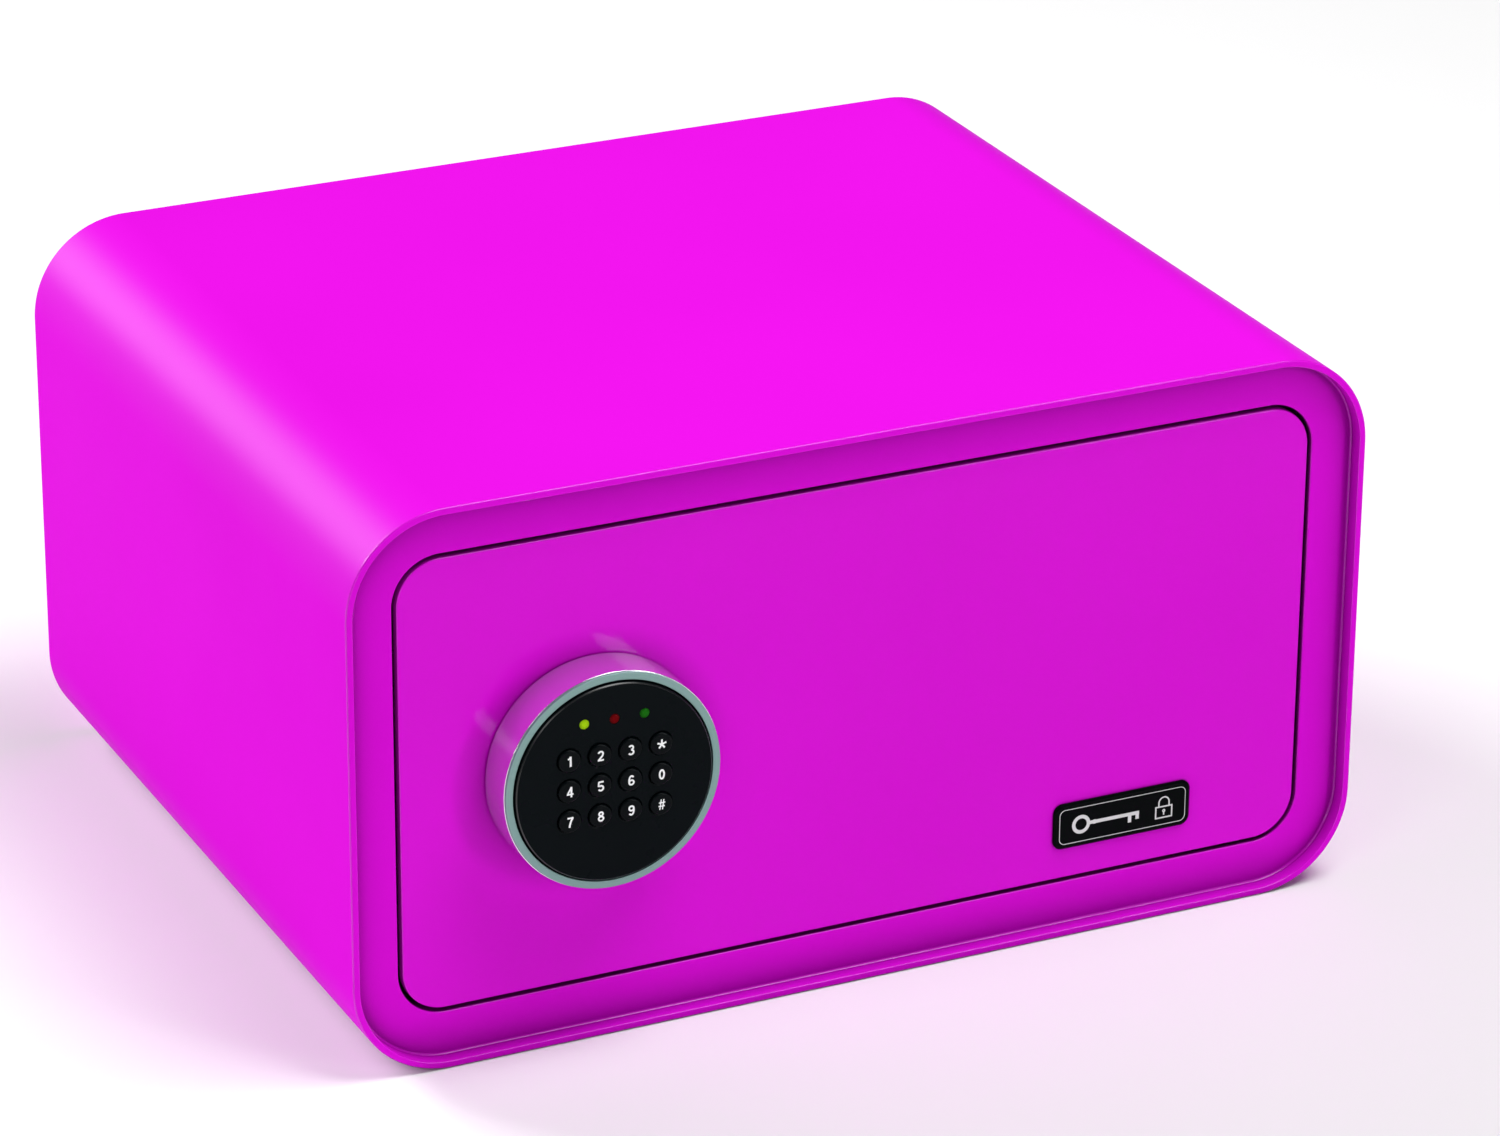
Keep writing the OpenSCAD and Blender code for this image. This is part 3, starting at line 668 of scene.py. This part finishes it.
def knob_cup():
    """The knob's chromed cup, open to the front."""
    cup_floor = KNOB_HI[1] - KNOB_FLOOR_T
    section = fillet([
        (KNOB_R, KNOB_HI[1], 0.4), (KNOB_R, KNOB_LO[1], 0.2), (KNOB_BORE_R, KNOB_LO[1], 0.1),
        (KNOB_BORE_R, cup_floor, 0.4), (SPINDLE_BORE_R, cup_floor, 0.2),
        (SPINDLE_BORE_R, KNOB_HI[1], 0.2)], 4)
    knob = lathe("knob_turned", section, CHROME, loop=True, caps=NO_CAPS)
    place(knob, "knob", "knob_chrome", "knob_body")


def knob_rim():
    section = fillet([(RIM_R, RIM_HI[1], 0), (RIM_R, RIM_LO[1], 0.25), (KNOB_BORE_R, RIM_LO[1], 0.2),
                      (KNOB_BORE_R, RIM_HI[1], 0)], 4)
    rim = lathe("rim_faced", section, RIM, loop=True, caps=NO_CAPS)
    place(rim, "knob", "rim_satin", "knob_rim")


KEYS = (("1", "2", "3", "star"), ("4", "5", "6", "0"), ("7", "8", "9", "hash"))
KEY_PLACES = {"key_" + char: (KNOB_X + (col - 1.5) * KEY_PITCH, KNOB_Z + (1 - row) * KEY_PITCH)
              for row, chars in enumerate(KEYS) for col, char in enumerate(chars)}

# Each lamp's colour and how strongly it is lit
LAMPS = {
    "lamp_yellow": ((0.24, 0.42, 0.004), 0.08),
    "lamp_red": ((0.10, 0.0008, 0.002), 0.0),
    "lamp_green": ((0.007, 0.095, 0.004), 0.0),
}
LAMP_PLACES = {name: (middle(*node_box(name), 0), middle(*node_box(name), 2)) for name in LAMPS}


def countersink(place_xz, r, bevel):
    """A cutter for a hole through the keypad's face, bevelled at the front."""
    section = [(r, KEYPAD_Y + 6), (r, KEYPAD_Y + bevel), (r + bevel, KEYPAD_Y), (r + bevel, KEYPAD_Y - 1)]
    return lathe("cutter", section, KEYPAD, *place_xz, KEY_STEPS)


def keypad_face():
    """The black moulded disc, with a skirt and a flange that sits in the knob's bore."""
    front = [(r, KEYPAD_Y) for r in (0.05, 10, 20, 30, 37)]
    chamfer = [(FACE_R - FACE_EDGE - 0.06, KEYPAD_Y), (FACE_R - FACE_EDGE, KEYPAD_Y + 0.03),
               (FACE_R - 0.03, KEYPAD_Y + FACE_EDGE), (FACE_R, KEYPAD_Y + FACE_EDGE + 0.06)]
    flange_y = RIM_LO[1] + 0.7
    flange_r = KNOB_BORE_R - 0.05
    flange = [(FACE_R, flange_y), (flange_r, flange_y + 0.15), (flange_r, flange_y + 0.8),
              (FACE_R, flange_y + 0.9)]
    inside_y = KEYPAD_Y + FACE_T
    skirt = [(FACE_R, FACE_HI[1]), (FACE_R - SKIRT_T, FACE_HI[1]), (FACE_R - SKIRT_T, inside_y),
             (0.05, inside_y)]
    face = lathe("keypad_moulded", front + chamfer + flange + skirt, KEYPAD)
    cut(face, [countersink(where, KEY_HOLE_R, 0.3) for where in KEY_PLACES.values()]
        + [countersink(where, LAMP_HOLE_R, 0.15) for where in LAMP_PLACES.values()])
    # The chamfer takes the lighter black, a painted edge highlight.
    recoat(face, KEYPAD_EDGE_HIGHLIGHT, lambda centre, normal:
           math.hypot(centre.x - KNOB_X, centre.z - KNOB_Z) > FACE_R - 0.5 and -0.95 < normal.y < -0.3)
    place(face, "knob", "keypad_black", "keypad_face")


knob_cup()
knob_rim()
keypad_face()

# ---------- figures and emblems, drawn with a pen ----------


def arc(cx, cz, rx, rz, start, end, steps=20):
    """Points along part of an ellipse, angles in degrees from +X."""
    turns = [math.radians(start + (end - start) * k / steps) for k in range(steps + 1)]
    return [(cx + rx * math.cos(a), cz + rz * math.sin(a)) for a in turns]


def ring(cx, cz, rx, rz):
    return arc(cx, cz, rx, rz, 0, 360, 32)


def line(x0, z0, x1, z1, steps=6):
    return [(x0 + (x1 - x0) * k / steps, z0 + (z1 - z0) * k / steps) for k in range(steps + 1)]


def stroke(path, width):
    """Quads along a path, as wide as a pen of that width leaves."""
    points = [Vector(p) for p in path]
    closed = (points[0] - points[-1]).length < 1e-6
    sides = []
    for i, p in enumerate(points):
        before = points[i - 1] if i else (points[-2] if closed else p)
        after = points[i + 1] if i + 1 < len(points) else (points[1] if closed else p)
        u = (p - before).normalized() + (after - p).normalized()
        n = Vector((-u.y, u.x)).normalized()
        step = (p - before if i else after - p).normalized()
        reach = width / 2 / max(0.7, abs(n.dot(Vector((-step.y, step.x)))))
        sides.append((p + n * reach, p - n * reach))
    return [(a[0], a[1], b[1], b[0]) for a, b in zip(sides, sides[1:])]


def joined(quads):
    """Flat triangles that cover all the quads once, as a list of points and a list of faces."""
    points, faces = [], []
    for quad in quads:
        faces.append(list(range(len(points), len(points) + 4)))
        points += quad
    points, _, faces, _, _, origins = delaunay_2d_cdt(points, [], faces, 0, 1e-5)
    return points, [f for f, origin in zip(faces, origins) if origin]


def drawing(name, strokes, material, x, z, front_y, back_y, scale=1, base_z=0):
    """Raised pen strokes round (x, z), between two depths worked out from the distance to it."""
    points, faces = joined([quad for path, width in strokes for quad in stroke(path, width)])
    bm = bmesh.new()
    verts = [bm.verts.new((p.x * scale, (p.y - base_z) * scale, 0)) for p in points]
    for f in faces:
        bm.faces.new([verts[i] for i in f])
    grown = bmesh.ops.extrude_face_region(bm, geom=bm.faces[:])
    front = {v for v in grown["geom"] if isinstance(v, bmesh.types.BMVert)}
    for v in bm.verts:
        depth = front_y if v in front else back_y
        v.co = Vector((x + v.co.x, depth(math.hypot(v.co.x, v.co.y)), z + v.co.y)) * MM
    bmesh.ops.delete(bm, geom=[v for v in bm.verts if not v.link_faces], context="VERTS")
    return smooth(finished_object(name, bm, material), 40, weighted=False)


# ---------- keys ----------

KEY_TOP = 1.12
KEY_TOP_R = 3.6
FIGURE_H = 4.2
# The key's side as (radius, y) from the keypad's face, from its flange inside to the edge of its top
KEY_SECTION = [(5.4, 3.2), (5.4, 2.35), (4.5, 2.35), (4.5, -0.62), (4.42, -0.80), (4.25, -0.92),
               (3.95, -1.0), (KEY_TOP_R, -1.03)]


def key_height(r):
    """How far the key's top stands out of the keypad at radius r."""
    return KEY_TOP - 0.09 * (r / KEY_TOP_R) ** 2


def key_cap(name, x, z):
    section = [(r, KEYPAD_Y + y) for r, y in KEY_SECTION]
    section += [(r, KEYPAD_Y - key_height(r)) for r in (3.0, 2.4, 1.8, 1.2, 0.6, 0.15)]
    cap = lathe(name + "_cap", section, KEY_BLACK, x, z, KEY_STEPS, angle=50)
    place(cap, name, "key_black", name)


# Strokes as (path, pen width) in a figure of height 1 that stands on 0
STEM, BAR = 0.19, 0.155
SIX = [(ring(0, 0.295, 0.225, 0.215), 0.165), (arc(0.02, 0.5, 0.245, 0.42, 42, 195), 0.165)]
FIGURES = {
    "0": [(ring(0, 0.5, 0.215, 0.415), 0.175)],
    "1": [(line(0.06, 0, 0.06, 1), STEM),
          ([(-0.2, 0.735), (-0.09, 0.79), (0.0, 0.88), (0.05, 0.98)], BAR)],
    "2": [(arc(0, 0.7, 0.22, 0.22, 165, -32) + line(0.16, 0.5, -0.2, 0.12, 5), 0.17),
          (line(-0.29, 0.08, 0.3, 0.08), 0.16)],
    "3": [(arc(-0.02, 0.735, 0.2, 0.185, 155, -90), 0.165),
          (arc(-0.02, 0.3, 0.23, 0.22, 90, -155), 0.165)],
    "4": [(line(0.11, 0, 0.11, 1), 0.18), (line(0.08, 0.93, -0.26, 0.32), BAR),
          (line(-0.33, 0.29, 0.31, 0.29), BAR)],
    "5": [(line(-0.2, 0.92, 0.27, 0.92), 0.16), (line(-0.19, 0.95, -0.235, 0.48), 0.15),
          (arc(0, 0.315, 0.23, 0.235, 130, -155), 0.165)],
    "6": SIX,
    "7": [(line(-0.28, 0.92, 0.3, 0.92), 0.16),
          ([(0.23, 0.9), (0.1, 0.7), (0.0, 0.45), (-0.06, 0.2), (-0.08, 0)], 0.175)],
    "8": [(ring(0, 0.745, 0.19, 0.175), 0.16), (ring(0, 0.29, 0.23, 0.21), 0.165)],
    "9": [([(-x, 1 - z) for x, z in path], width) for path, width in SIX],
    "hash": [(line(-0.2, 0, -0.06, 1), 0.105), (line(0.06, 0, 0.2, 1), 0.105),
             (line(-0.33, 0.34, 0.29, 0.34), 0.115), (line(-0.29, 0.68, 0.33, 0.68), 0.115)],
    "star": [(line(0, 0.5, 0.46 * math.cos(a), 0.5 + 0.46 * math.sin(a), 4), 0.17)
             for a in (math.radians(90 + 72 * k) for k in range(5))],
}


def key_figure(name, x, z):
    """A printed figure that follows the key's domed top."""
    strokes = FIGURES[name.removeprefix("key_")]
    obj = drawing(name + "_figure", strokes, FIGURE, x, z,
                  front_y=lambda r: KEYPAD_Y - key_height(r) - 0.06,
                  back_y=lambda r: KEYPAD_Y - key_height(r) + 0.05, scale=FIGURE_H, base_z=0.5)
    place(obj, name, "white_nylon")


for key_name, where in KEY_PLACES.items():
    key_cap(key_name, *where)
    key_figure(key_name, *where)

# ---------- lamps ----------


def lamp(name, x, z, color, glow):
    """A domed lens in its hole."""
    rim_y = KEYPAD_Y + 0.35
    rise = 0.55
    section = [(LAMP_R, KEYPAD_Y + 6.6), (LAMP_R, rim_y + 0.5)]
    section += [(LAMP_R * math.cos(a), rim_y - rise * math.sin(a))
                for a in (math.radians(k) for k in range(0, 90, 10))]
    section.append((0.08, rim_y - rise))
    piece = lathe(name + "_lens", section, lens(name + "_glow", color, glow, x, z), x, z, 48, angle=60)
    place(piece, "knob", name, name)


for lamp_name, (color, glow) in LAMPS.items():
    lamp(lamp_name, *LAMP_PLACES[lamp_name], color, glow)

# ---------- nameplate ----------

PLATE_X, PLATE_Z = middle(PLATE_LO, PLATE_HI, 0), middle(PLATE_LO, PLATE_HI, 2)
PLATE_W, PLATE_H = PLATE_HI[0] - PLATE_LO[0], PLATE_HI[2] - PLATE_LO[2]
PLATE_Y = PLATE_LO[1]
BORDER_IN = 2.2


def nameplate():
    top_y = PLATE_Y + 0.02
    section = plate_section([(0, FACE_Y, 0), (0, PLATE_Y + 0.75, 0.15), (0.85, top_y, 0.25)], 4)
    badge = rect_loft("nameplate_bevelled", section, NAMEPLATE, PLATE_W, PLATE_H, 4, PLATE_X, PLATE_Z,
                      loop=False, caps=BOTH_CAPS, steps=14)
    place(badge, "door", "black_gloss", "nameplate")


def nameplate_border():
    """A thin printed line that runs round the plate."""
    section = [(0, 0.1), (0, 0.01), (0.04, 0), (0.24, 0), (0.28, 0.01), (0.28, 0.1)]
    border = rect_loft("nameplate_border", [(inset, PLATE_Y + y) for inset, y in section], PRINT,
                       PLATE_W - 2 * BORDER_IN, PLATE_H - 2 * BORDER_IN, 2.6, PLATE_X, PLATE_Z, steps=10)
    place(border, "door", "black_gloss")


KEY_EMBLEM = [
    (ring(-18.6, 0, 3.3, 3.3), 1.5), (line(-15.0, 0, 7.4, 0, 12), 1.5),
    (line(3.2, 0, 3.2, -3.6), 1.5), (line(6.6, 0, 6.6, -2.7), 1.5),
    (line(-12.6, -0.9, -12.6, 0.9, 2), 1.1)]


def padlock_emblem(x):
    """A padlock's outline about x: the box, the shackle and the keyhole."""
    pen, half, shackle = 0.6, 3.9, 2.3
    side = half - 0.3
    arch = [(x + shackle, 0.4), (x + shackle, 1.8)] + arc(x, 2.1, shackle, 2.4, 0, 180)
    arch += [(x - shackle, 1.8), (x - shackle, 0.4)]
    return [(line(x - half, 0.4, x + half, 0.4), pen), (line(x - half, -4.4, x + half, -4.4), pen),
            (line(x - side, -4.6, x - side, 0.6), pen), (line(x + side, -4.6, x + side, 0.6), pen),
            (arch, pen), (ring(x, -1.5, 0.45, 0.45), 0.5), (line(x, -1.7, x, -3.3), pen)]


nameplate()
nameplate_border()
emblem = drawing("nameplate_emblem", KEY_EMBLEM + padlock_emblem(18.6), PRINT, PLATE_X, PLATE_Z,
                 front_y=lambda r: PLATE_Y, back_y=lambda r: PLATE_Y + 0.06)
place(emblem, "door", "black_gloss")

# ---------- carried-over CAD nodes ----------

# Each node's material and the width of the bevel on its edges, in millimetres
CARRIED = {
    "hinge_bracket_top": (FRAME_PAINT, 0.4), "hinge_bracket_bottom": (FRAME_PAINT, 0.4),
    "lock_tray": (ZINC, 0.3), "hinge_pin_top": (STEEL, 0.4), "hinge_pin_bottom": (STEEL, 0.4),
    "hinge_spacers": (DARK, 0.2), "spindle_bush": (NYLON, 0.2), "bolt_bushes": (NYLON, 0.3),
    "guide_posts": (STEEL, 0.3), "inner_cover": (DARK, 0.5), "cover_screws": (STEEL, 0.15),
    "cover_pillars": (ZINC, 0.3), "battery_holder": (DARK, 0.3), "battery_cells": (CELLS, 0.4),
    "battery_contacts": (STEEL, 0.1), "solenoid_frame": (ZINC, 0.3), "solenoid_coil": (COPPER, 0.5),
    "control_board": (BOARD, 0.15), "wiring_loom": (WIRE, 0.0), "keypad_board": (BOARD, 0.15),
    "spindle": (STEEL, 0.3), "spindle_screws": (STEEL, 0.2), "crank_disc": (STEEL, 0.4),
    "bolt_upper": (BOLT_CHROME, 0.5), "bolt_lower": (BOLT_CHROME, 0.5), "bolt_carrier": (ZINC, 0.3),
    "carrier_rivets": (STEEL, 0.3), "solenoid_plunger": (STEEL, 0.3), "battery_cover": (DARK, 0.4),
    "program_button": (RED_BUTTON, 0.4),
}


def finish_node(node, material, width):
    """Gives a CAD node its material and bevelled edges, and leaves its shape and place."""
    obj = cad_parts[node]
    obj.data.materials.clear()
    obj.data.materials.append(material)
    weld = obj.modifiers.new("weld", "WELD")
    weld.merge_threshold = 0.002 * MM
    if width:
        bevel = obj.modifiers.new("bevel", "BEVEL")
        bevel.width = width * MM
        bevel.segments = 2
        bevel.limit_method = "ANGLE"
        bevel.angle_limit = math.radians(40)


for node, (material, width) in CARRIED.items():
    finish_node(node, material, width)

# ---------- floor, light and camera, in metres ----------


def studio_floor():
    look = Look("studio_floor", (0.93, 0.93, 0.93), 0.8, 0.0, 0.1)
    look.vary_color(look.noise(3.0), (0.915, 0.915, 0.915))
    bpy.ops.mesh.primitive_plane_add(size=14, location=(0, 0, -0.0002))
    floor = bpy.context.object
    floor.name = "studio_floor"
    floor.data.materials.append(look.mat)


def studio_world(seen_strength, unseen_strength):
    """A white background that the camera sees brighter than it lights the object."""
    world = bpy.data.worlds.new("studio")
    bpy.context.scene.world = world
    world.use_nodes = True
    nodes, links = world.node_tree.nodes, world.node_tree.links
    nodes.clear()
    mix = nodes.new("ShaderNodeMixShader")
    links.new(nodes.new("ShaderNodeLightPath").outputs["Is Camera Ray"], mix.inputs["Fac"])
    for slot, strength in ((1, unseen_strength), (2, seen_strength)):
        white = nodes.new("ShaderNodeBackground")
        white.inputs["Color"].default_value = (1, 1, 1, 1)
        white.inputs["Strength"].default_value = strength
        links.new(white.outputs["Background"], mix.inputs[slot])
    links.new(mix.outputs["Shader"], nodes.new("ShaderNodeOutputWorld").inputs["Surface"])


def area_light(name, location, target, size, power):
    light = bpy.data.lights.new(name, "AREA")
    light.shape = "RECTANGLE"
    light.size, light.size_y = size
    light.energy = power
    obj = bpy.data.objects.new(name, light)
    bpy.context.scene.collection.objects.link(obj)
    obj.visible_camera = False
    obj.location = location
    obj.rotation_mode = "QUATERNION"
    obj.rotation_quaternion = (Vector(target) - Vector(location)).to_track_quat("-Z", "Y")


def add_camera(azimuth, elevation, roll, distance, aim, focal_length):
    """A camera that looks at aim from distance. The angles are in degrees."""
    a, e, c = (math.radians(angle) for angle in (azimuth, elevation, roll))
    back = Vector((math.sin(a) * math.cos(e), -math.cos(a) * math.cos(e), math.sin(e)))
    right = Vector((math.cos(a), math.sin(a), 0))
    up = back.cross(right)
    right, up = math.cos(c) * right + math.sin(c) * up, math.cos(c) * up - math.sin(c) * right
    camera = bpy.data.objects.new("camera", bpy.data.cameras.new("camera"))
    bpy.context.scene.collection.objects.link(camera)
    camera.data.sensor_width = 36
    camera.data.lens = focal_length
    camera.data.clip_start = 0.1
    camera.data.clip_end = 50
    turn = Matrix((right, up, back)).transposed().to_4x4()
    camera.matrix_world = Matrix.Translation(Vector(aim) + back * distance) @ turn
    bpy.context.scene.camera = camera


studio_floor()
studio_world(1.0, 0.08)
area_light("key_softbox", (-2.4, 4.0, 2.1), (-0.1, 0, 0.15), (2.4, 2.4), 322)
area_light("top_softbox", (0.6, -0.7, 2.2), (0, 0, 0.1), (1.2, 1.2), 43)
area_light("front_panel", (1.35, -2.4, 0.52), (0, 0, 0.12), (0.3, 0.95), 15)
area_light("left_card", (-1.55, -2.3, 0.2), (0, 0, 0.12), (0.34, 0.3), 4)
area_light("corner_fill", (-1.5, -1.45, 1.45), (-0.1, -0.1, 0.12), (0.7, 0.7), 5)
add_camera(-25.511, 23.482, 0.393, 2.4911, (0.02957, 0, 0.1017), 146.25)
bpy.context.scene.view_settings.view_transform = "Standard"
